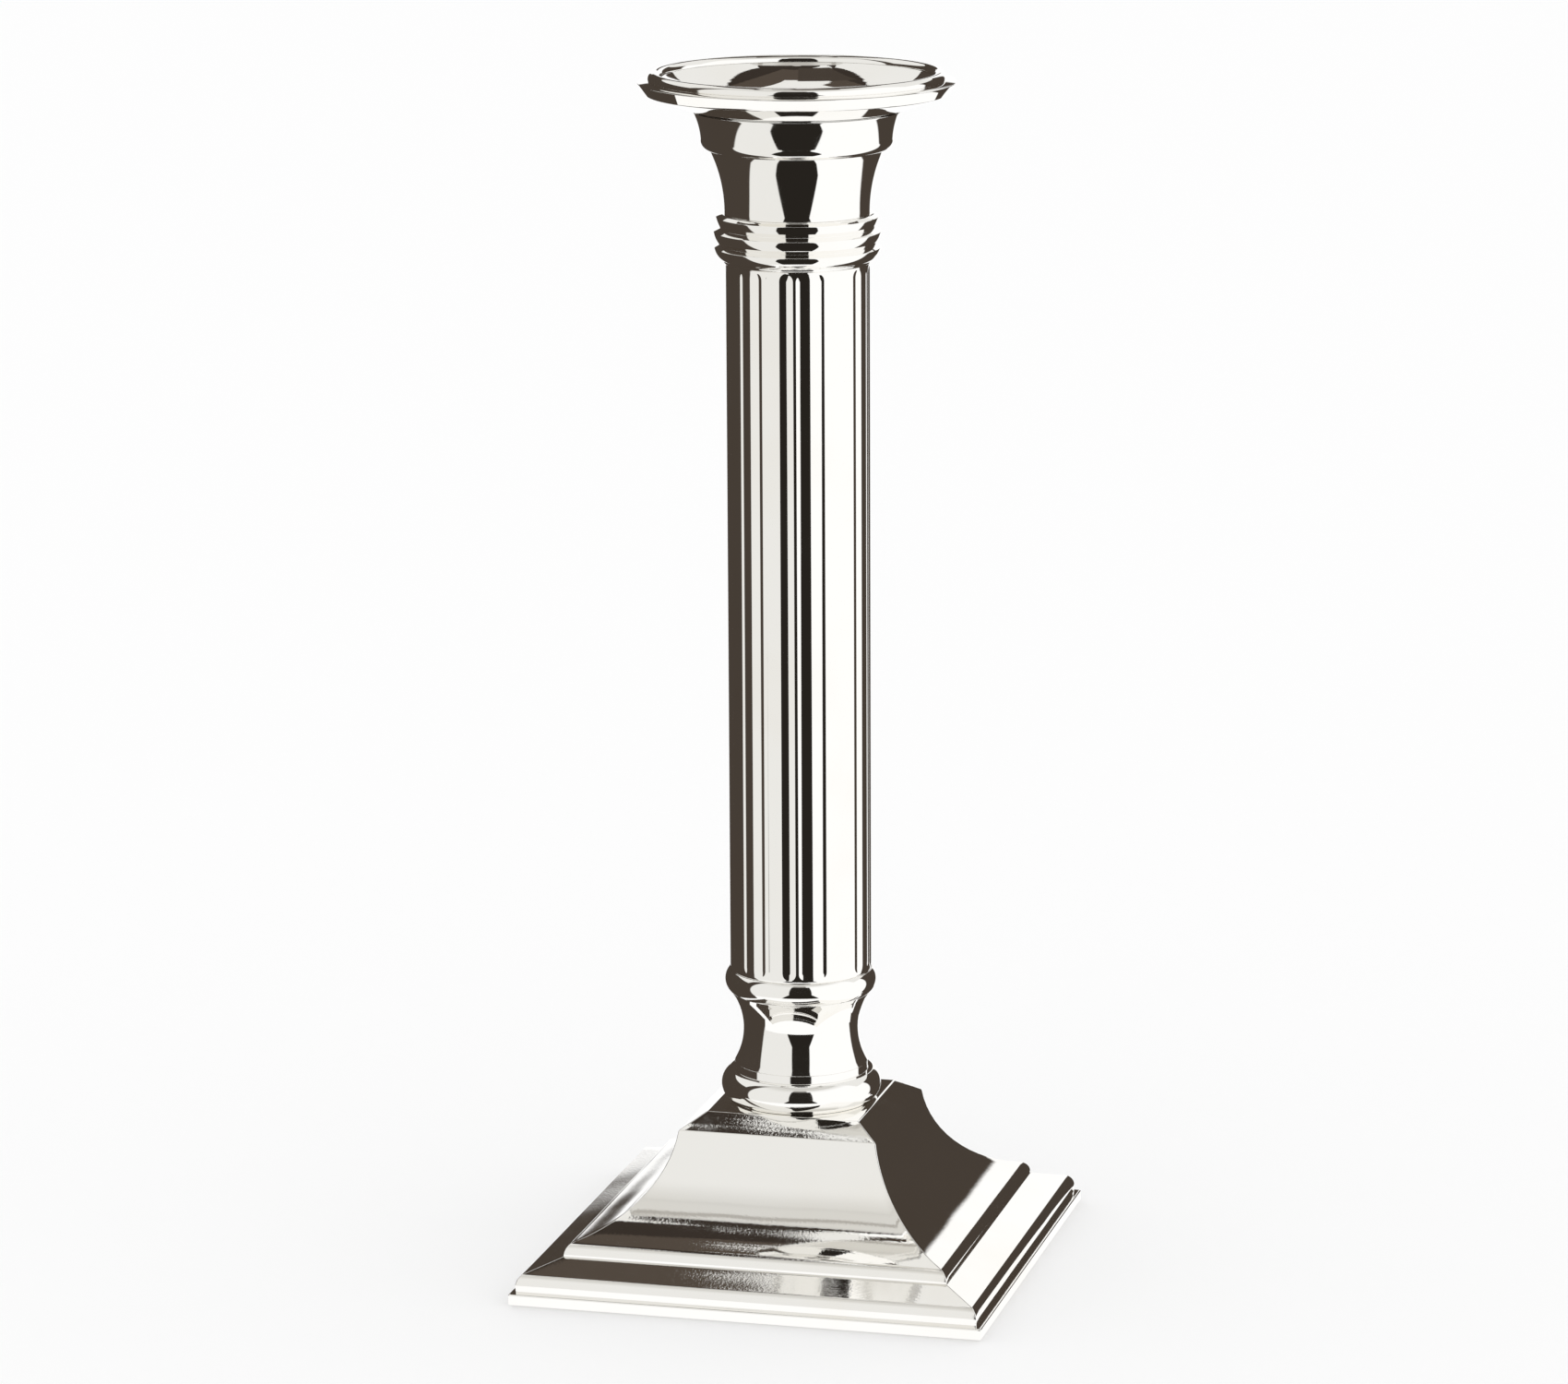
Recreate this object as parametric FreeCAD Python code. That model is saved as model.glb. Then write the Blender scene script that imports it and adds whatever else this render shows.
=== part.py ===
"""Silver candlestick: fluted column on a square stepped base, with a lift-off drip-pan nozzle.

The origin is the centre of the resting face, +Z is up, and the sides of the base lie along X and Y.
The candlestick is thin silver-plated shells round cement cores. One tie rod clamps the stack
between a boss under the candle socket and a nut inside the base. The nozzle lifts straight out.
"""

import FreeCAD, Part
import math
import os

Vector = FreeCAD.Vector
ORIGIN = Vector(0, 0, 0)
UP = Vector(0, 0, 1)

# ---- stations up the height (mm) ----
foot_z = 0.4                # underside of the metal foot; the felt stands proud of it
foot_band_top = 3.1
ovolo_bottom = 3.9
plate_edge_z = 7.35
step_bottom = 9.9
cove_bottom = 13.2
cove_top = 36.1
platform_z = 39.7
base_ring_top = 46.9
neck_bottom = 48.9
lower_collar_bottom = 66.4
column_bottom = 71.9
column_top = 242.6
capital_bottom = 254.2
shoulder_z = 269.3
cup_wall_z = 271.8
capital_lip_z = 278.3
flange_top = 278.6
nozzle_seat_z = 278.65      # 0.05 above the flange that it rests on
dish_floor_z = 280.2
pan_rim_z = 285.5
top_z = 287.5

# ---- square base: half widths (mm) ----
foot_half = 57.25
foot_band_inner_half = 53.9
ovolo_half = 55.75
ovolo_mid = (55.55, 5.9)    # half width and height part of the way up the rounded edge
plate_edge_half = 54.45
step_half = 46.6
step_mid = (46.1, 11.9)
cove_bottom_half = 44.1
cove_mid = (29.1, 23.9)
cove_top_half = 24.2
platform_half = 18.6
base_sheet = 0.9
cement_gap = 0.15

# ---- turned shells: radii and walls (mm) ----
shell_wall = 1.1
base_ring_mid = (19.2, 43.6)
base_ring_end_r = 17.3
neck_end_r = 16.0
neck_waist = (13.85, 57.5)  # radius and height at the narrowest point
neck_top_r = 16.9
lower_collar_mid = (18.2, 69.2)
lower_collar_end_r = 17.1
ring_bore_r = 12.6
neck_core_r = 12.4
column_r = 16.9
column_bore_r = 15.5
capital_r = 17.15
flare_mid = (18.0, 262.0)
flare_top_r = 20.6
shoulder_mid = (22.2, 270.2)
cup_wall_r = 22.6
cup_mid = (23.15, 275.0)
capital_lip_r = 24.4
collar_bore_r = 9.0
collar_foot_r = 17.3
collar_beads = [            # arc up to the lip of each bead, then its top, from the lowest up
    ((18.95, 244.6), (19.55, 246.2)), (18.3, 246.9),
    ((19.35, 248.6), (19.7, 250.0)), (18.1, 250.8),
    ((18.8, 252.3), (19.15, 253.5)), (17.9, 254.2),
]
collar_bead_start = (17.6, 243.3)

# ---- flutes (mm and degrees) ----
flute_count = 28
flute_width = 3.05
flute_tilt = 15.0           # slope of a flute's wall at its edge
flute_turn = -1.3           # azimuth of one of the fillets between flutes
flute_bottom = 72.9
flute_top = 241.9

# ---- candle socket and nozzle (mm) ----
candle_r = 11.4             # takes a 22 mm candle
sleeve_r = 12.3
sleeve_bottom = 262.0
socket_r = 12.38            # running fit round the sleeve
socket_wall = 1.02
socket_floor = 257.2
lip_inner_r = 23.2
flange_r = 22.85            # closes the capital's mouth inside its lip
flange_sheet = 0.95
seat_r = 24.8
pan_underside_end = (35.45, 282.35)
pan_edge = (37.3, 285.05)
bead_inner_r = 31.8
bead_outer_r = 34.8
bead_inner_z = 285.95
dish_edge = (31.3, 285.4)
dish_mid = (25.8, 281.9)
dish_flat_r = 17.0
hole_round = 1.5

# ---- tie rod and its fittings (mm) ----
rod_r = 3.0
rod_hole_r = 3.3
rod_bottom = 4.2
rod_top = 253.0
boss_r = 8.0
boss_bottom = 244.0
nut_across_flats = 10.0
nut_height = 5.0
washer_r = 11.0
washer_thickness = 1.5
recess_r = 12.0
recess_top = 12.0
bottom_plate_half = 53.4
bottom_plate_thickness = 1.0
felt_thickness = 1.6


def inside(point, inward, down=0.0):
    """A (radius, height) pair moved towards the axis and down."""
    return (point[0] - inward, point[1] - down)


def at(point):
    """Place a (radius, height) pair in the XZ plane."""
    return Vector(point[0], 0, point[1])


def outline(start, steps):
    """Face in the XZ plane. A step is an end point, or (through point, end point) for an arc."""
    edges = []
    here = start
    for step in steps:
        if isinstance(step[0], tuple):
            through, end = step
            edges.append(Part.Arc(at(here), at(through), at(end)).toShape())
        else:
            end = step
            edges.append(Part.LineSegment(at(here), at(end)).toShape())
        here = end
    if here != start:
        edges.append(Part.LineSegment(at(here), at(start)).toShape())
    return Part.Face(Part.Wire(edges))


def turned(start, steps):
    """Solid of revolution about Z from an outline of (radius, height) points."""
    return outline(start, steps).revolve(ORIGIN, UP, 360)


def tube(outer, inner, bottom, top):
    """Plain round tube, or a rod where inner is 0."""
    solid = Part.makeCylinder(outer, top - bottom, Vector(0, 0, bottom))
    if inner > 0:
        solid = solid.cut(Part.makeCylinder(inner, top - bottom, Vector(0, 0, bottom)))
    return solid


def square_slab(half, bottom, top):
    """Square plate centred on the axis."""
    return Part.makeBox(2 * half, 2 * half, top - bottom, Vector(-half, -half, bottom))


def square_moulding(half_section, reach):
    """Square solid with mitred corners, from the section of one side as a face from the axis out."""
    sides = [edge for edge in half_section.Edges if edge.BoundBox.XMax > 0.001]
    sides += [edge.mirror(ORIGIN, Vector(1, 0, 0)) for edge in sides]
    section = Part.Face(Part.Wire(Part.__sortEdges__(sides)))
    section.translate(Vector(0, -reach, 0))
    along_y = section.extrude(Vector(0, 2 * reach, 0))
    along_x = along_y.copy()
    along_x.rotate(ORIGIN, UP, 90)
    return along_y.common(along_x)


def base_section(inset, bottom):
    """Half section of the base, moved in from its outer surface by inset."""
    half_inset = inset / 2
    cove_inset = 0.7 * inset
    return outline((0, bottom), [
        (ovolo_half - inset, bottom),
        (ovolo_half - inset, ovolo_bottom),
        (inside(ovolo_mid, inset, half_inset), (plate_edge_half - inset, plate_edge_z - inset)),
        (step_half - inset, step_bottom - inset),
        (inside(step_mid, inset, half_inset), (cove_bottom_half - inset, cove_bottom - inset)),
        (inside(cove_mid, cove_inset, cove_inset), (cove_top_half - inset, cove_top - half_inset)),
        (platform_half - half_inset, platform_z - inset),
        (0, platform_z - inset),
    ])


# ---- nozzle: lifts out of the socket ----
def nozzle_pan():
    """Dished drip pan with a sharp-edged rim band and a rounded candle hole."""
    hole_mid = hole_round * (1 - math.sqrt(0.5))
    return turned((candle_r, nozzle_seat_z), [
        (seat_r, nozzle_seat_z),
        pan_underside_end,
        pan_edge,
        (bead_outer_r, pan_rim_z),
        (bead_inner_r, bead_inner_z),
        dish_edge,
        (dish_mid, (dish_flat_r, dish_floor_z)),
        (candle_r + hole_round, dish_floor_z),
        ((candle_r + hole_mid, dish_floor_z - hole_mid), (candle_r, dish_floor_z - hole_round)),
    ])


def nozzle_rim_bead():
    """Rounded wire that stands on the flat rim of the pan."""
    crest = ((bead_inner_r + bead_outer_r) / 2, top_z)
    return turned((bead_inner_r, bead_inner_z), [
        (bead_outer_r, pan_rim_z),
        (crest, (bead_inner_r, bead_inner_z)),
    ])


def nozzle_sleeve():
    """Tube under the pan that holds the candle and slides into the socket."""
    return tube(sleeve_r, candle_r, sleeve_bottom, nozzle_seat_z)


# ---- capital and candle socket ----
def socket_cup():
    """Drawn cup with a flange that closes the top of the capital."""
    outer = socket_r + socket_wall
    bottom = socket_floor - socket_wall
    return turned((0, bottom), [
        (outer, bottom),
        (outer, flange_top - flange_sheet),
        (flange_r, flange_top - flange_sheet),
        (flange_r, flange_top),
        (socket_r, flange_top),
        (socket_r, socket_floor),
        (0, socket_floor),
    ])


def socket_boss():
    """Threaded boss under the socket, where the tie rod screws in."""
    top = socket_floor - socket_wall
    boss = tube(boss_r, 0, boss_bottom, top)
    return boss.cut(tube(rod_r, 0, boss_bottom, rod_top))


def capital():
    """Flared shell with a rounded shoulder under a short cup."""
    wall = shell_wall
    cup_inner_foot = (cup_wall_r - wall, cup_wall_z + 0.2 * wall)
    shoulder_inner_end = (flare_top_r - wall, shoulder_z + wall / 2)
    return turned((capital_r - wall, capital_bottom), [
        (capital_r, capital_bottom),
        (flare_mid, (flare_top_r, shoulder_z)),
        (shoulder_mid, (cup_wall_r, cup_wall_z)),
        (cup_mid, (capital_lip_r, capital_lip_z)),
        (lip_inner_r, capital_lip_z),
        (inside(cup_mid, 1.05 * wall), cup_inner_foot),
        (inside(shoulder_mid, 0.9 * wall, -0.6 * wall), shoulder_inner_end),
        (inside(flare_mid, wall), (capital_r - wall, capital_bottom)),
    ])


def neck_collar():
    """Three beads turned on one ring, each fuller at the top."""
    return turned((collar_bore_r, column_top), [
        (collar_foot_r, column_top),
        collar_bead_start,
        *collar_beads,
        (collar_bore_r, capital_bottom),
    ])


# ---- column ----
def flute_cutter(width, tilt):
    """Round-ended bar that sinks one flute into the column at azimuth 0."""
    bar_r = width / 2 / math.sin(math.radians(tilt))
    chord_r = math.sqrt(column_r ** 2 - (width / 2) ** 2)
    centre_r = chord_r + bar_r * math.cos(math.radians(tilt))
    low = flute_bottom + width / 2
    high = flute_top - width / 2
    bar = Part.makeCylinder(bar_r, high - low, Vector(centre_r, 0, low))
    for end in (low, high):
        bar = bar.fuse(Part.makeSphere(bar_r, Vector(centre_r, 0, end)))
    return bar


def fluted_column():
    """Round tube with round-ended flutes all the way round it."""
    column = tube(column_r, column_bore_r, column_bottom, column_top)
    cutter = flute_cutter(flute_width, flute_tilt)
    pitch = 360 / flute_count
    cutters = []
    for index in range(flute_count):
        bar = cutter.copy()
        bar.rotate(ORIGIN, UP, flute_turn + pitch * (index + 0.5))
        cutters.append(bar)
    return column.cut(cutters)


def column_core():
    """Cement cast in the column round the tie rod."""
    return tube(column_bore_r - cement_gap, rod_hole_r, column_bottom, column_top)


def lower_collar():
    """Rounded ring between the neck and the column."""
    return turned((ring_bore_r, lower_collar_bottom), [
        (neck_top_r, lower_collar_bottom),
        (lower_collar_mid, (lower_collar_end_r, column_bottom)),
        (ring_bore_r, column_bottom),
    ])


# ---- neck ----
def neck():
    """Waisted shell under the column."""
    return turned((ring_bore_r, neck_bottom), [
        (neck_end_r, neck_bottom),
        (neck_waist, (neck_top_r, lower_collar_bottom)),
        (ring_bore_r, lower_collar_bottom),
    ])


def neck_core():
    """Cement round the tie rod through the neck and its rings."""
    return tube(neck_core_r, rod_hole_r, platform_z, column_bottom)


def base_ring():
    """Round ring on the platform of the base, with a narrow fillet above it."""
    return turned((ring_bore_r, platform_z), [
        (base_ring_end_r, platform_z),
        (base_ring_mid, (base_ring_end_r, base_ring_top)),
        (neck_end_r, base_ring_top),
        (neck_end_r, neck_bottom),
        (ring_bore_r, neck_bottom),
    ])


# ---- base ----
def base_shell():
    """Stamped square shell: rounded edge, sloping plate, step, cove, chamfer and platform."""
    outer = square_moulding(base_section(0, foot_band_top), foot_half)
    inner = square_moulding(base_section(base_sheet, foot_band_top), foot_half)
    return outer.cut(inner).cut(tube(rod_hole_r, 0, cove_top, platform_z))


def foot_band():
    """Square wire round the bottom edge, which stiffens the shell."""
    outer = square_slab(foot_half, foot_z, foot_band_top)
    return outer.cut(square_slab(foot_band_inner_half, foot_z, foot_band_top))


def base_weight():
    """Cement filling of the base, with a recess under it for the nut and washer."""
    bottom = felt_thickness + bottom_plate_thickness
    body = square_moulding(base_section(base_sheet + cement_gap, foot_band_top), foot_half)
    body = body.fuse(square_slab(bottom_plate_half, bottom, foot_band_top)).removeSplitter()
    body = body.cut(tube(rod_hole_r, 0, bottom, platform_z))
    return body.cut(tube(recess_r, 0, bottom, recess_top))


def bottom_plate():
    """Thin plate that closes the base."""
    return square_slab(bottom_plate_half, felt_thickness, felt_thickness + bottom_plate_thickness)


def felt_pad():
    """Felt glued under the bottom plate, which the candlestick stands on."""
    return square_slab(bottom_plate_half, 0, felt_thickness)


# ---- tie rod and fittings ----
def tie_rod():
    """Threaded rod, drawn plain, from the nut up to the boss."""
    return tube(rod_r, 0, rod_bottom, rod_top)


def rod_washer():
    """Broad washer that bears on the cement."""
    return tube(washer_r, rod_r, recess_top - washer_thickness, recess_top)


def rod_nut():
    """Hexagon nut under the washer."""
    top = recess_top - washer_thickness
    corner_r = nut_across_flats / math.sqrt(3)
    corners = []
    for index in range(7):
        turn = math.radians(60 * index)
        corners.append(Vector(corner_r * math.cos(turn), corner_r * math.sin(turn), top - nut_height))
    prism = Part.Face(Part.makePolygon(corners)).extrude(Vector(0, 0, nut_height))
    return prism.cut(tube(rod_r, 0, top - nut_height, top))


PIECES = [
    nozzle_pan, nozzle_rim_bead, nozzle_sleeve,
    socket_cup, socket_boss, capital, neck_collar,
    fluted_column, column_core, lower_collar,
    neck, neck_core, base_ring,
    base_shell, foot_band, base_weight, bottom_plate, felt_pad,
    tie_rod, rod_washer, rod_nut,
]

os.makedirs("parts", exist_ok=True)
for piece in PIECES:
    shape = piece()
    if not shape.isValid() or len(shape.Solids) != 1:
        raise ValueError(f"{piece.__name__} is not one valid solid")
    shape.Solids[0].exportStep(f"parts/{piece.__name__}.step")
    print(f"{piece.__name__}: {shape.Volume / 1000:.1f} cm3")
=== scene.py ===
import math

import bpy
from mathutils import Matrix, Vector, noise


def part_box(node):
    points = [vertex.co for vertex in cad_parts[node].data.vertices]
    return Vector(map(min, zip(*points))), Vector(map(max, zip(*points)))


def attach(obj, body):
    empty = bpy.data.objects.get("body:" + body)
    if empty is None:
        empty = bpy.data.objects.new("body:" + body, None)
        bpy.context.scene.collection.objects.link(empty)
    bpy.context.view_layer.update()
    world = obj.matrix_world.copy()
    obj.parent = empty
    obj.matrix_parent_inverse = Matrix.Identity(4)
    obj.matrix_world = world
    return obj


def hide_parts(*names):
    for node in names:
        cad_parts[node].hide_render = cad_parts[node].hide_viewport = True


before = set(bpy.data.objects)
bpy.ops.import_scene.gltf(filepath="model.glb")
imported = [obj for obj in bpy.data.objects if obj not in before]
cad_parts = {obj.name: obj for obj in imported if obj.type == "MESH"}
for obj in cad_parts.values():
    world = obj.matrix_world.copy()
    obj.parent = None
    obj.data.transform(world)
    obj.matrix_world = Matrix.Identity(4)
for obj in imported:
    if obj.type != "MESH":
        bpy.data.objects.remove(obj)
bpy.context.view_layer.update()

MM = 0.001

# ---- camera: where the view is taken from ----
VIEW_AZIMUTH = 14.256       # degrees round from the front, towards +X
VIEW_ELEVATION = 12.366
VIEW_ROLL = 0.253
VIEW_DISTANCE = 1.4820      # metres
VIEW_HEIGHT = 0.13938       # metres up the axis, where the camera looks
LENS = 142.893              # mm, on a sensor 36 mm wide
SHIFT_X = -0.00999

# ---- mesh density ----
AROUND = 256                # segments round a turned piece
ARC_STEPS = 14
SIDE_STEPS = 36             # segments along one side of the base
CORNER_STEPS = 5
FLUTE_STEPS = 22            # segments round one flute and its fillet
NEARLY_STRAIGHT = math.radians(172)     # a corner flatter than this isn't rounded


# ---------------------------------------------------------------- sizes taken from the frame, in mm
def low(node):
    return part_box(node)[0].z / MM


def high(node):
    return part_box(node)[1].z / MM


def reach(node):
    """Largest half width or radius of a node (mm)."""
    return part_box(node)[1].x / MM


# ---------------------------------------------------------------- outlines, in mm
def arc(start, through, end, steps=ARC_STEPS):
    """Points after start, along the circle through three (radius, height) points."""
    (ax, ay), (bx, by), (cx, cy) = start, through, end
    d = 2 * (ax * (by - cy) + bx * (cy - ay) + cx * (ay - by))
    a2, b2, c2 = ax * ax + ay * ay, bx * bx + by * by, cx * cx + cy * cy
    ox = (a2 * (by - cy) + b2 * (cy - ay) + c2 * (ay - by)) / d
    oy = (a2 * (cx - bx) + b2 * (ax - cx) + c2 * (bx - ax)) / d
    radius = math.hypot(ax - ox, ay - oy)
    first = math.atan2(ay - oy, ax - ox)
    turn = (math.atan2(cy - oy, cx - ox) - first) % (2 * math.pi)
    if (math.atan2(by - oy, bx - ox) - first) % (2 * math.pi) > turn:
        turn -= 2 * math.pi
    angles = [first + turn * i / steps for i in range(1, steps + 1)]
    return [(ox + radius * math.cos(a), oy + radius * math.sin(a)) for a in angles]


def outline(start, steps, edge=0.15):
    """Line of points from start. A step is an end point, or (through, end) for an arc.
    Where two runs meet at an angle, a small round of radius edge joins them."""
    runs = []
    here = start
    for step in steps:
        if isinstance(step[0], tuple):
            through, end = step
            runs.append([here] + arc(here, through, end))
        else:
            end = step
            runs.append([here, end])
        here = end
    points = list(runs[0])
    for run in runs[1:]:
        before, corner, after = Vector(points[-2]), Vector(points[-1]), Vector(run[1])
        back, on = before - corner, after - corner
        if back.angle(on) < NEARLY_STRAIGHT:
            cut = min(edge, 0.45 * back.length, 0.45 * on.length)
            first = corner + back.normalized() * cut
            last = corner + on.normalized() * cut
            points.pop()
            for t in (0, 0.25, 0.5, 0.75, 1):
                p = first * (1 - t) ** 2 + corner * 2 * t * (1 - t) + last * t * t
                points.append((p.x, p.y))
        points += run[1:]
    return points


# ---------------------------------------------------------------- meshes
def add_mesh(name, points, faces, sharp_angle=50):
    mesh = bpy.data.meshes.new(name)
    mesh.from_pydata(points, [], faces)
    mesh.validate()
    for polygon in mesh.polygons:
        polygon.use_smooth = True
    mesh.set_sharp_from_angle(angle=math.radians(sharp_angle))
    thing = bpy.data.objects.new(name, mesh)
    bpy.context.scene.collection.objects.link(thing)
    return thing


def rings_to_faces(rings, per_ring, close_rings=True):
    """Quads between rings of points that are stored one after another."""
    faces = []
    last = rings if close_rings else rings - 1
    for i in range(last):
        this, following = i * per_ring, (i + 1) % rings * per_ring
        for j in range(per_ring):
            k = (j + 1) % per_ring
            faces.append((this + j, this + k, following + k, following + j))
    return faces


def lathe(name, line, around=AROUND):
    """Turns a closed line of (radius, height) points about Z. A point on the axis makes a pole."""
    turns = [2 * math.pi * i / around for i in range(around)]
    points = []
    for r, z in line:
        points += [(r * math.cos(t) * MM, r * math.sin(t) * MM, z * MM) for t in turns]
    return add_mesh(name, points, rings_to_faces(len(line), around))


def square_ring(half, z, corner):
    """Points round a square with rounded corners."""
    corner = min(corner, 0.9 * half)
    straight = half - corner
    points = []
    for quarter in range(4):
        turn = math.radians(90 * quarter)
        c, s = math.cos(turn), math.sin(turn)
        side = [(half, -straight + 2 * straight * i / SIDE_STEPS) for i in range(SIDE_STEPS)]
        for i in range(CORNER_STEPS):
            a = math.radians(90 * i / CORNER_STEPS)
            side.append((straight + corner * math.cos(a), straight + corner * math.sin(a)))
        points += [((x * c - y * s) * MM, (x * s + y * c) * MM, z * MM) for x, y in side]
    return points


def square_turned(name, line, corner):
    """Square counterpart of lathe: line holds (half width, height) points, closed."""
    points = []
    for half, z in line:
        points += square_ring(half, z, corner)
    return add_mesh(name, points, rings_to_faces(len(line), 4 * (SIDE_STEPS + CORNER_STEPS)))


def hand_worked(thing, depth, size, seed):
    """Very slight hollows and swellings, as in stamped and polished sheet."""
    for vertex in thing.data.vertices:
        at = vertex.co / (size * MM) + Vector((seed, -seed, seed / 2))
        vertex.co += vertex.normal * depth * MM * noise.noise(at)
    thing.data.update()


# ---------------------------------------------------------------- material nodes
class Nodes:
    """Short forms for building a node tree."""

    def __init__(self, tree):
        self.tree = tree

    def new(self, kind, **settings):
        node = self.tree.nodes.new(kind)
        for key, value in settings.items():
            if hasattr(node, key):
                setattr(node, key, value)
            else:
                self.plug(value, node.inputs[key.replace("_", " ")])
        return node

    def plug(self, value, socket):
        if isinstance(value, bpy.types.NodeSocket):
            self.tree.links.new(value, socket)
        else:
            socket.default_value = value

    def math(self, operation, *values):
        node = self.tree.nodes.new("ShaderNodeMath")
        node.operation = operation
        for value, socket in zip(values, node.inputs):
            self.plug(value, socket)
        return node.outputs[0]

    def spread(self, value, low_in, high_in, low_out=0.0, high_out=1.0):
        node = self.tree.nodes.new("ShaderNodeMapRange")
        node.interpolation_type = "SMOOTHSTEP"
        for item, socket in zip((value, low_in, high_in, low_out, high_out), node.inputs):
            self.plug(item, socket)
        return node.outputs[0]

    def blend(self, share, first, second):
        node = self.tree.nodes.new("ShaderNodeMix")
        node.data_type = "RGBA"
        self.plug(share, node.inputs[0])
        self.plug(first, node.inputs[6])
        self.plug(second, node.inputs[7])
        return node.outputs[2]

    def noise(self, where, scale, detail=2.0, roughness=0.5):
        node = self.tree.nodes.new("ShaderNodeTexNoise")
        self.plug(where, node.inputs["Vector"])
        node.inputs["Scale"].default_value = scale
        node.inputs["Detail"].default_value = detail
        node.inputs["Roughness"].default_value = roughness
        return node.outputs[0]

    def scaled(self, vector, factors):
        node = self.tree.nodes.new("ShaderNodeVectorMath")
        node.operation = "MULTIPLY"
        self.plug(vector, node.inputs[0])
        node.inputs[1].default_value = factors
        return node.outputs[0]


def new_material(name):
    material = bpy.data.materials.new(name)
    material.use_nodes = True
    material.node_tree.nodes.clear()
    nodes = Nodes(material.node_tree)
    shader = nodes.tree.nodes.new("ShaderNodeBsdfPrincipled")
    output = nodes.tree.nodes.new("ShaderNodeOutputMaterial")
    nodes.tree.links.new(shader.outputs[0], output.inputs[0])
    where = nodes.tree.nodes.new("ShaderNodeTexCoord").outputs["Object"]
    return material, nodes, shader, where


def add_bump(nodes, shader, layers):
    """Layers are (height, strength, distance in metres), one bump on another."""
    normal = None
    for height, strength, distance in layers:
        bump = nodes.tree.nodes.new("ShaderNodeBump")
        nodes.plug(height, bump.inputs["Height"])
        bump.inputs["Strength"].default_value = strength
        bump.inputs["Distance"].default_value = distance
        if normal is not None:
            nodes.tree.links.new(normal, bump.inputs["Normal"])
        normal = bump.outputs[0]
    nodes.tree.links.new(normal, shader.inputs["Normal"])


def silver(name, turned_finish):
    """Polished silver plate: faint polishing lines, smudges and a little warm toning."""
    material, nodes, shader, where = new_material(name)
    smudge = nodes.spread(nodes.noise(where, 70.0, 4.0, 0.6), 0.48, 0.75)
    toning = nodes.spread(nodes.noise(where, 24.0, 3.0, 0.55), 0.45, 0.8, 0.0, 0.5)
    colour = nodes.blend(toning, (0.965, 0.955, 0.93, 1), (0.92, 0.885, 0.82, 1))
    nodes.plug(colour, shader.inputs["Base Color"])
    shader.inputs["Metallic"].default_value = 1.0
    if turned_finish:
        lines = nodes.noise(nodes.scaled(where, (60.0, 60.0, 5200.0)), 1.0, 3.0, 0.6)
    else:
        lines = nodes.noise(nodes.scaled(where, (900.0, 1500.0, 1500.0)), 1.0, 3.0, 0.6)
    rough = nodes.math("ADD", nodes.math("MULTIPLY", smudge, 0.045), 0.03)
    rough = nodes.math("ADD", rough, nodes.spread(lines, 0.55, 0.75, 0.0, 0.03))
    nodes.plug(rough, shader.inputs["Roughness"])
    swell = nodes.noise(where, 55.0, 1.0, 0.4)
    layers = [(swell, 0.25, 0.00012), (lines, 0.03, 0.00002)]
    if not turned_finish:
        grain = nodes.noise(where, 1500.0, 2.0, 0.6)
        layers.append((grain, 0.5, 0.000012))
    add_bump(nodes, shader, layers)
    return material


def cement():
    """Cast plaster: pale, chalky, with coarse mottling, and pits coloured darker as painted shade in
    their hollows.
    """
    material, nodes, shader, where = new_material("cement")
    mottle = nodes.noise(where, 90.0, 6.0, 0.65)
    pits = nodes.spread(nodes.noise(where, 900.0, 2.0, 0.5), 0.3, 0.42)
    colour = nodes.blend(mottle, (0.5, 0.46, 0.4, 1), (0.74, 0.71, 0.65, 1))
    # The darker pit colour is painted shade in the hollows, laid on top of the pits' bump.
    nodes.plug(nodes.blend(pits, (0.33, 0.3, 0.26, 1), colour), shader.inputs["Base Color"])
    shader.inputs["Roughness"].default_value = 0.92
    add_bump(nodes, shader, [(mottle, 0.6, 0.0004), (pits, 0.5, 0.0003)])
    return material


def machined(name, colour, dull, ring_scale):
    """Turned or drawn metal with tool marks and dull patches."""
    material, nodes, shader, where = new_material(name)
    marks = nodes.noise(nodes.scaled(where, (140.0, 140.0, ring_scale)), 1.0, 3.0, 0.6)
    patches = nodes.spread(nodes.noise(where, 120.0, 4.0, 0.6), 0.4, 0.7)
    nodes.plug(nodes.blend(patches, colour, dull), shader.inputs["Base Color"])
    shader.inputs["Metallic"].default_value = 1.0
    nodes.plug(nodes.spread(marks, 0.3, 0.7, 0.24, 0.42), shader.inputs["Roughness"])
    add_bump(nodes, shader, [(marks, 0.25, 0.00004)])
    return material


def felt():
    """Dense dyed wool felt with tangled fibres."""
    material, nodes, shader, where = new_material("felt")
    fibres = nodes.noise(nodes.scaled(where, (2600.0, 1400.0, 2600.0)), 1.0, 6.0, 0.7)
    clumps = nodes.noise(where, 420.0, 4.0, 0.6)
    tone = nodes.math("MULTIPLY", fibres, clumps)
    colour = nodes.blend(nodes.spread(tone, 0.12, 0.4), (0.008, 0.05, 0.025, 1), (0.035, 0.15, 0.075, 1))
    nodes.plug(colour, shader.inputs["Base Color"])
    shader.inputs["Roughness"].default_value = 0.95
    shader.inputs["Sheen Weight"].default_value = 0.6
    shader.inputs["Sheen Roughness"].default_value = 0.5
    add_bump(nodes, shader, [(clumps, 0.5, 0.0003), (fibres, 0.7, 0.0002)])
    return material


TURNED_SILVER = silver("silver_turned", True)
STAMPED_SILVER = silver("silver_stamped", False)


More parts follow.
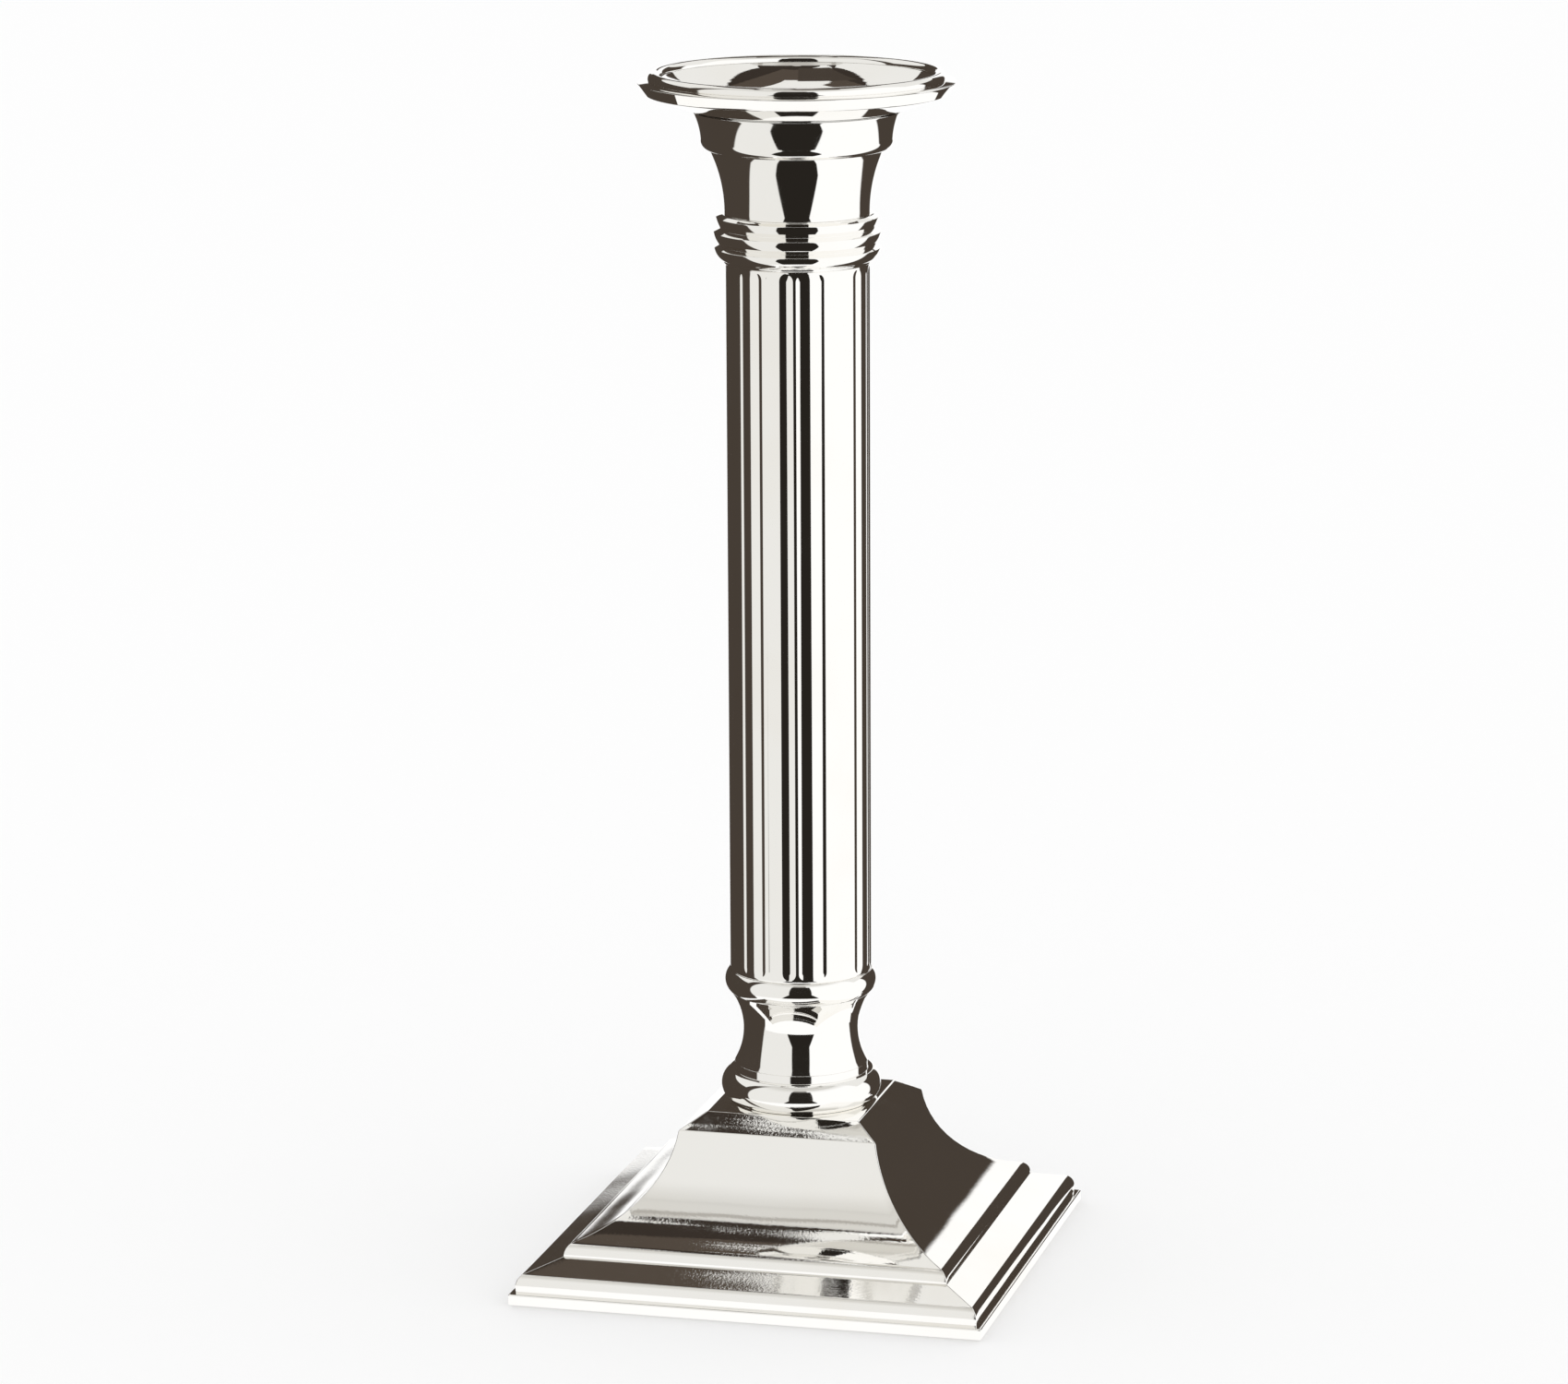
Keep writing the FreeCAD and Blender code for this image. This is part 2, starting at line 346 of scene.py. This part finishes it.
def finish_piece(thing, node, body, material):
    """Puts a piece in place of a CAD node."""
    thing.data.materials.append(material)
    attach(thing, body)
    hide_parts(node)
    return thing


# ---------------------------------------------------------------- nozzle
def nozzle_pieces():
    hole_r = 11.4
    seat = low("nozzle_pan")
    rim, top = low("nozzle_rim_bead"), high("nozzle_rim_bead")
    pan_r = reach("nozzle_pan")
    bead_r, bead_inner_r, bead_inner_z = 34.8, 31.8, 285.95
    floor_z = 280.2
    pan = outline((hole_r, seat), [
        (24.8, seat),
        (35.45, 282.35),
        (pan_r, 285.05),
        (bead_r, rim),
        (bead_inner_r, bead_inner_z),
        (31.3, 285.4),
        ((25.8, 281.9), (17.0, floor_z)),
        (12.9, floor_z),
        ((11.84, 279.76), (hole_r, 278.7)),
    ])
    finish_piece(lathe("drip_pan", pan), "nozzle_pan", "nozzle", TURNED_SILVER)
    bead = outline((bead_inner_r, bead_inner_z), [
        (bead_r, rim),
        (((bead_inner_r + bead_r) / 2, top), (bead_inner_r, bead_inner_z + 0.01)),
    ], edge=0.05)
    finish_piece(lathe("rim_bead", bead), "nozzle_rim_bead", "nozzle", TURNED_SILVER)
    foot, sleeve_r = low("nozzle_sleeve"), reach("nozzle_sleeve")
    sleeve = outline((hole_r, seat), [
        (hole_r, foot),
        (sleeve_r, foot),
        (sleeve_r, seat),
    ])
    finish_piece(lathe("sleeve", sleeve), "nozzle_sleeve", "nozzle", TURNED_SILVER)


# ---------------------------------------------------------------- capital and socket
def capital_pieces():
    base, lip = low("capital"), high("capital")
    lip_r = reach("capital")
    wall = 1.1
    shell = outline((16.05, base), [
        (17.15, base),
        ((18.0, 262.0), (20.6, 269.3)),
        ((22.2, 270.2), (22.6, 271.8)),
        ((23.15, 275.0), (lip_r, lip)),
        (23.2, lip),
        ((22.0, 275.0), (22.6 - wall, 272.0)),
        ((21.2, 270.9), (20.6 - wall, 269.85)),
        ((18.0 - wall, 262.0), (16.05, base + 0.01)),
    ])
    finish_piece(lathe("capital_shell", shell), "capital", "candlestick", TURNED_SILVER)
    bottom, top = low("socket_cup"), high("socket_cup")
    bore_r, cup_r, flange_r = 12.38, 13.4, reach("socket_cup")
    cup = outline((0.01, bottom), [
        (cup_r, bottom),
        (cup_r, top - 0.95),
        (flange_r, top - 0.95),
        (flange_r, top),
        (bore_r, top),
        (bore_r, bottom + 1.02),
        (0.01, bottom + 1.02),
    ])
    finish_piece(lathe("socket", cup), "socket_cup", "candlestick", TURNED_SILVER)
    base, top = low("neck_collar"), high("neck_collar")
    beads = outline((9.0, base), [
        (17.3, base),
        (17.6, 243.3),
        ((18.95, 244.6), (19.55, 246.2)),
        (18.3, 246.9),
        ((19.35, 248.6), (19.7, 250.0)),
        (18.1, 250.8),
        ((18.8, 252.3), (19.15, 253.5)),
        (17.9, top),
        (9.0, top),
    ], edge=0.35)
    finish_piece(lathe("collar_beads", beads), "neck_collar", "candlestick", TURNED_SILVER)


# ---------------------------------------------------------------- column
def flute_radius(across, z, column_r, first, last):
    """Outer radius (mm) of the column at an angle across from a flute's middle."""
    half_width, tilt = 1.525, math.radians(15)
    bar_r = half_width / math.sin(tilt)
    centre_r = math.sqrt(column_r ** 2 - half_width ** 2) + bar_r * math.cos(tilt)
    beyond = max(first + half_width - z, z - (last - half_width), 0)
    side = bar_r ** 2 - beyond ** 2 - (centre_r * math.sin(across)) ** 2
    if side <= 0:
        return column_r
    floor = centre_r * math.cos(across) - math.sqrt(side)
    soft = 0.03
    return (column_r + floor - math.sqrt((column_r - floor) ** 2 + soft ** 2) + soft) / 2


def fluted_column():
    flutes, turned = 28, math.radians(-1.3)
    base, top, column_r = low("fluted_column"), high("fluted_column"), reach("fluted_column")
    first, last, bore_r = 72.9, 241.9, 15.5
    end_length, end_steps, middle_steps, bevel = 1.6, 15, 8, 0.05
    end_rows = [end_length * (1 - math.cos(math.pi * i / end_steps)) / 2 for i in range(end_steps + 1)]
    middle = last - first - 2 * end_length
    heights = [base + bevel, first - 0.3]
    heights += [first + row for row in end_rows]
    heights += [first + end_length + middle * i / middle_steps for i in range(1, middle_steps)]
    heights += [last - row for row in reversed(end_rows)]
    heights += [last + 0.2, top - bevel]
    around = flutes * FLUTE_STEPS
    rings = [(bore_r, base), (column_r - bevel, base)]
    points = []
    for radius, z in rings:
        points += [spot(radius, 2 * math.pi * i / around + turned, z) for i in range(around)]
    pitch = 2 * math.pi / flutes
    for z in heights:
        for i in range(around):
            across = (i % FLUTE_STEPS + 0.5) / FLUTE_STEPS * pitch - pitch / 2
            radius = flute_radius(across, z, column_r, first, last)
            points.append(spot(radius, 2 * math.pi * i / around + turned, z))
    for radius, z in [(column_r - bevel, top), (bore_r, top)]:
        points += [spot(radius, 2 * math.pi * i / around + turned, z) for i in range(around)]
    faces = rings_to_faces(len(heights) + 4, around)
    thing = add_mesh("column", points, faces, sharp_angle=60)
    finish_piece(thing, "fluted_column", "candlestick", TURNED_SILVER)


def spot(radius, turn, z):
    return (radius * math.cos(turn) * MM, radius * math.sin(turn) * MM, z * MM)


# ---------------------------------------------------------------- neck and rings
def neck_pieces():
    bore_r = 12.6
    base, top = low("lower_collar"), high("lower_collar")
    ring = outline((bore_r, base), [
        (16.9, base),
        ((reach("lower_collar"), 69.2), (17.1, top)),
        (bore_r, top),
    ])
    finish_piece(lathe("column_foot_ring", ring), "lower_collar", "candlestick", TURNED_SILVER)
    base, top = low("neck"), high("neck")
    waist = outline((bore_r, base), [
        (16.0, base),
        ((13.85, 57.5), (16.9, top)),
        (bore_r, top),
    ])
    finish_piece(lathe("waisted_neck", waist), "neck", "candlestick", TURNED_SILVER)
    base, top = low("base_ring"), high("base_ring")
    torus = outline((bore_r, base), [
        (17.3, base),
        ((reach("base_ring"), 43.6), (17.3, 46.9)),
        (16.0, 46.9),
        (16.0, top),
        (bore_r, top),
    ])
    finish_piece(lathe("torus_ring", torus), "base_ring", "candlestick", TURNED_SILVER)


# ---------------------------------------------------------------- base
def base_line(inset, bottom, top):
    """Outer or inner line of the base shell, from the bottom up to the platform's middle."""
    edge_half = reach("base_shell")
    return outline((edge_half - inset, bottom), [
        (edge_half - inset, 3.9),
        ((edge_half - 0.2 - inset, 5.9 - inset / 2), (54.45 - inset, 7.35 - inset)),
        (46.6 - inset, 9.9 - inset),
        ((46.1 - inset, 11.9 - inset / 2), (44.1 - inset, 13.2 - inset)),
        ((29.1 - 0.7 * inset, 23.9 - 0.7 * inset), (24.2 - inset, 36.1 - inset / 2)),
        (18.6 - inset / 2, top - inset),
        (3.3, top - inset),
    ], edge=0.35)


def base_pieces():
    bottom, top, sheet = low("base_shell"), high("base_shell"), 0.9
    outer = base_line(0, bottom, top)
    inner = base_line(sheet, bottom, top)
    shell = square_turned("stepped_base", outer + inner[::-1], 0.22)
    hand_worked(shell, depth=0.05, size=17.0, seed=3.7)
    finish_piece(shell, "base_shell", "candlestick", STAMPED_SILVER)
    half, foot, lip = reach("foot_band"), low("foot_band"), high("foot_band")
    band = outline((53.9, foot), [
        (half, foot),
        (half, lip),
        (53.9, lip),
    ], edge=0.4)
    moulding = square_turned("foot_moulding", band, 0.35)
    finish_piece(moulding, "foot_band", "candlestick", STAMPED_SILVER)


def felt_piece():
    half, bottom, top = reach("felt_pad"), low("felt_pad"), high("felt_pad")
    line = outline((0.01, bottom), [
        (half, bottom),
        (half, top),
        (0.01, top),
    ], edge=0.5)
    return finish_piece(square_turned("baize", line, 1.5), "felt_pad", "candlestick", felt())


def hidden_pieces():
    """The CAD shapes inside are right as they are, and get their own finishes."""
    steel = machined("steel", (0.46, 0.46, 0.47, 1), (0.3, 0.29, 0.28, 1), 4000.0)
    sheet_steel = machined("sheet_steel", (0.42, 0.42, 0.43, 1), (0.3, 0.3, 0.3, 1), 140.0)
    brass = machined("brass", (0.8, 0.6, 0.28, 1), (0.55, 0.38, 0.16, 1), 5000.0)
    plaster = cement()
    finishes = {
        "tie_rod": steel, "rod_washer": steel, "rod_nut": steel,
        "bottom_plate": sheet_steel, "socket_boss": brass,
        "column_core": plaster, "neck_core": plaster, "base_weight": plaster,
    }
    for node, material in finishes.items():
        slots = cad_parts[node].data.materials
        slots.clear()
        slots.append(material)


# ---------------------------------------------------------------- studio
def camera_axes():
    """Unit vectors from the object to the camera, and to its right and up before the roll."""
    azimuth, elevation = math.radians(VIEW_AZIMUTH), math.radians(VIEW_ELEVATION)
    back = Vector((math.sin(azimuth) * math.cos(elevation),
                   -math.cos(azimuth) * math.cos(elevation), math.sin(elevation)))
    right = (-back).cross(Vector((0, 0, 1))).normalized()
    return back, right, back.cross(right)


def set_camera():
    back, right, up = camera_axes()
    data = bpy.data.cameras.new("camera")
    data.lens = LENS
    data.sensor_width = 36.0
    data.shift_x = SHIFT_X
    camera = bpy.data.objects.new("camera", data)
    roll = math.radians(VIEW_ROLL)
    x_axis = right * math.cos(roll) - up * math.sin(roll)
    y_axis = right * math.sin(roll) + up * math.cos(roll)
    place = Vector((0, 0, VIEW_HEIGHT)) + back * VIEW_DISTANCE
    facing = Matrix((x_axis, y_axis, back)).transposed().to_4x4()
    camera.matrix_world = Matrix.Translation(place) @ facing
    bpy.context.scene.collection.objects.link(camera)
    bpy.context.scene.camera = camera


# Only reflections see these panels; everything else gets the even ROOM_LIGHT.
# (left, right, bottom, top, edge softness, spread below the horizon, colour).
# Angles are in degrees: round from the camera's side of the object, and up from the horizon.
DARK = (0.062, 0.049, 0.039)
BLACK = (0.02, 0.017, 0.014)
PAPER = (0.86, 0.855, 0.835)
WHITE = (1.05, 1.05, 1.05)
CEILING = (0.7, 0.69, 0.66)
ZENITH = (0.5, 0.48, 0.45)
RAIL = (0.45, 0.43, 0.4)
BROWN_BOARD = (0.085, 0.067, 0.053)
DARK_BOARD = (0.04, 0.031, 0.025)
ROOM_LIGHT = (1.06, 1.06, 1.06)
PANELS = [
    (-82, -17, -90, 64, 1.5, 0, PAPER),
    (10, 116, -90, 62, 1.5, 0, WHITE),
    (-100, 100, 56, 92, 12, 0, CEILING),
    (-100, 100, 72.5, 74.5, 0.6, 0, RAIL),
    (-181, 181, 81, 92, 3, 0, ZENITH),
    (-18, 16, -91, 50, 1.0, 0.5, BLACK),
    (159.5, 173.5, -20, 27, 1.0, 0, WHITE),
    (-182, -171.4, -46, 9, 0.5, 0, WHITE),
    (167, 182, -46, 9, 0.8, 0, WHITE),
]


def light_studio():
    world = bpy.data.worlds.new("studio")
    bpy.context.scene.world = world
    world.use_nodes = True
    world.node_tree.nodes.clear()
    nodes = Nodes(world.node_tree)
    heading = nodes.tree.nodes.new("ShaderNodeTexCoord").outputs["Generated"]
    parts = nodes.new("ShaderNodeSeparateXYZ", Vector=heading).outputs
    turn = math.radians(90 - VIEW_AZIMUTH)
    c, s = math.cos(turn), math.sin(turn)
    x_c, x_s = (nodes.math("MULTIPLY", parts[0], factor) for factor in (c, s))
    y_c, y_s = (nodes.math("MULTIPLY", parts[1], factor) for factor in (c, s))
    ahead, aside = nodes.math("SUBTRACT", x_c, y_s), nodes.math("ADD", x_s, y_c)
    round_angle = nodes.math("DEGREES", nodes.math("ARCTAN2", aside, ahead))
    up_angle = nodes.math("DEGREES", nodes.math("ARCSINE", parts[2]))
    spread_from, spread_most = -6.0, 38.0
    below = nodes.math("MAXIMUM", nodes.math("SUBTRACT", spread_from, up_angle), 0.0)
    below = nodes.math("MINIMUM", below, spread_most)
    colour = (*DARK, 1)
    for left, right, bottom, top, soft, spread, tint in PANELS:
        wider = nodes.math("MULTIPLY", below, spread)
        from_left = nodes.math("ADD", nodes.math("SUBTRACT", round_angle, left), wider)
        from_right = nodes.math("ADD", nodes.math("SUBTRACT", right, round_angle), wider)
        share = nodes.spread(from_left, -soft, soft)
        for depth in (from_right, nodes.math("SUBTRACT", up_angle, bottom),
                      nodes.math("SUBTRACT", top, up_angle)):
            share = nodes.math("MULTIPLY", share, nodes.spread(depth, -soft, soft))
        colour = nodes.blend(share, colour, (*tint, 1))
    rays = nodes.tree.nodes.new("ShaderNodeLightPath")
    colour = nodes.blend(rays.outputs["Is Glossy Ray"], (*ROOM_LIGHT, 1), colour)
    background = nodes.new("ShaderNodeBackground", Color=colour)
    output = nodes.tree.nodes.new("ShaderNodeOutputWorld")
    nodes.tree.links.new(background.outputs[0], output.inputs[0])


def glowing(name, colour):
    """Plain even glow for the studio's own surfaces."""
    material, _, shader, _ = new_material(name)
    shader.inputs["Base Color"].default_value = (0, 0, 0, 1)
    shader.inputs["Specular IOR Level"].default_value = 0.0
    shader.inputs["Emission Color"].default_value = (*colour, 1)
    shader.inputs["Emission Strength"].default_value = 1.0
    return material


def only_reflected(thing):
    thing.visible_camera = False
    thing.visible_diffuse = False
    thing.visible_shadow = False


def direction(turn, rise):
    """Unit vector at an angle round from the camera's side and an angle up (degrees)."""
    turn = math.radians(turn + VIEW_AZIMUTH - 90)
    rise = math.radians(rise)
    return Vector((math.cos(turn) * math.cos(rise), math.sin(turn) * math.cos(rise), math.sin(rise)))


def table_top():
    """White paper round the foot, which reaches furthest towards the camera's side."""
    near, far, height = 0.071, 0.125, -0.0002
    left_turn, right_turn = -76, 116
    rim = []
    for turn in range(-180, 180, 3):
        across = direction(turn, 0)
        square = near / max(abs(across.x), abs(across.y))
        rim.append(across * (max(far, square) if left_turn < turn < right_turn else square))
    points = [(0, 0, height)] + [(p.x, p.y, height) for p in rim]
    faces = [(0, i + 1, (i + 1) % len(rim) + 1) for i in range(len(rim))]
    table = add_mesh("table_top", points, faces)
    table.data.materials.append(glowing("table_top", WHITE))
    return table


PALE_TONE, BROWN_TONE, DARK_TONE = range(3)


def board_tone(turn, rise):
    """Tone of the board at this angle round and up, which curves away from the middle of the back."""
    back, gap_half, gap_top = 180, 5.5, 57
    base_edge = 200 + 0.36 * max(rise - 64, 0) ** 2 - 0.74 * max(64 - rise, 0)
    if back + 4 < turn < base_edge and 44 < rise < 80:
        return PALE_TONE
    off_centre = abs(turn - back)
    dark_reach = 12 + 43 * (max(rise - 34, 0) / 37) ** 1.5
    brown_reach = min(dark_reach, 15 + 0.4 * (rise - 45))
    if off_centre < gap_half and rise < gap_top:
        return PALE_TONE
    if off_centre < brown_reach and rise < 79:
        return BROWN_TONE
    if off_centre < dark_reach or rise > 73:
        return DARK_TONE
    return PALE_TONE


def dish_surround():
    """Pale and dark boards far behind and above, for the dish and the base's front to reflect."""
    centre, radius = Vector((0, 0, 0.283)), 3.0
    turns, rises = range(96, 265), range(24, 89)
    points = [centre + radius * direction(t, r) for t in turns for r in rises]
    across = len(rises)
    faces, tones = [], []
    for i, turn in enumerate(turns[:-1]):
        for j, rise in enumerate(rises[:-1]):
            first = i * across + j
            faces.append((first, first + across, first + across + 1, first + 1))
            tones.append(board_tone(turn + 0.5, rise + 0.5))
    surround = add_mesh("dish_surround", points, faces)
    for name, colour in (("pale_board", PAPER), ("brown_board", BROWN_BOARD),
                         ("dark_board", DARK_BOARD)):
        surround.data.materials.append(glowing(name, colour))
    for polygon, tone in zip(surround.data.polygons, tones):
        polygon.material_index = tone
    return surround


def dish_board():
    """A dark board above and behind the pan, which only the dish sees."""
    height = 0.45
    corners = [(-0.042, 0.044), (-0.073, 0.135), (-0.036, 0.14), (-0.014, 0.05)]
    board = add_mesh("dish_board", [(x, y, height) for x, y in corners], [(0, 1, 2, 3)])
    board.data.materials.append(glowing("dish_board", DARK))
    return board


def pan_board():
    """A narrow white board just below the drip pan, seen only by the outer band of its rim."""
    inner, outer, height = 0.038, 0.046, 0.272
    turns = range(-70, 95, 2)
    lift = Vector((0, 0, height))
    points = [r * direction(turn, 0) + lift for turn in turns for r in (inner, outer)]
    faces = [(i, i + 1, i + 3, i + 2) for i in range(0, len(points) - 2, 2)]
    board = add_mesh("pan_board", points, faces)
    board.data.materials.append(glowing("pan_board", WHITE))
    return board


def add_floor():
    """A pale sweep for the camera, and the surfaces that only the silver reflects."""
    material, _, shader, _ = new_material("pale_floor")
    shader.inputs["Base Color"].default_value = (0.93, 0.93, 0.93, 1)
    shader.inputs["Roughness"].default_value = 0.9
    shader.inputs["Specular IOR Level"].default_value = 0.0
    bpy.ops.mesh.primitive_plane_add(size=30)
    floor = bpy.context.object
    floor.name = "floor"
    floor.data.materials.append(material)
    floor.visible_glossy = False
    boards = [table_top(), dish_surround(), dish_board(), pan_board()]
    for board in boards:
        only_reflected(board)


set_camera()
nozzle_pieces()
capital_pieces()
fluted_column()
neck_pieces()
base_pieces()
felt_piece()
hidden_pieces()
light_studio()
add_floor()
bpy.context.scene.view_settings.view_transform = "Standard"
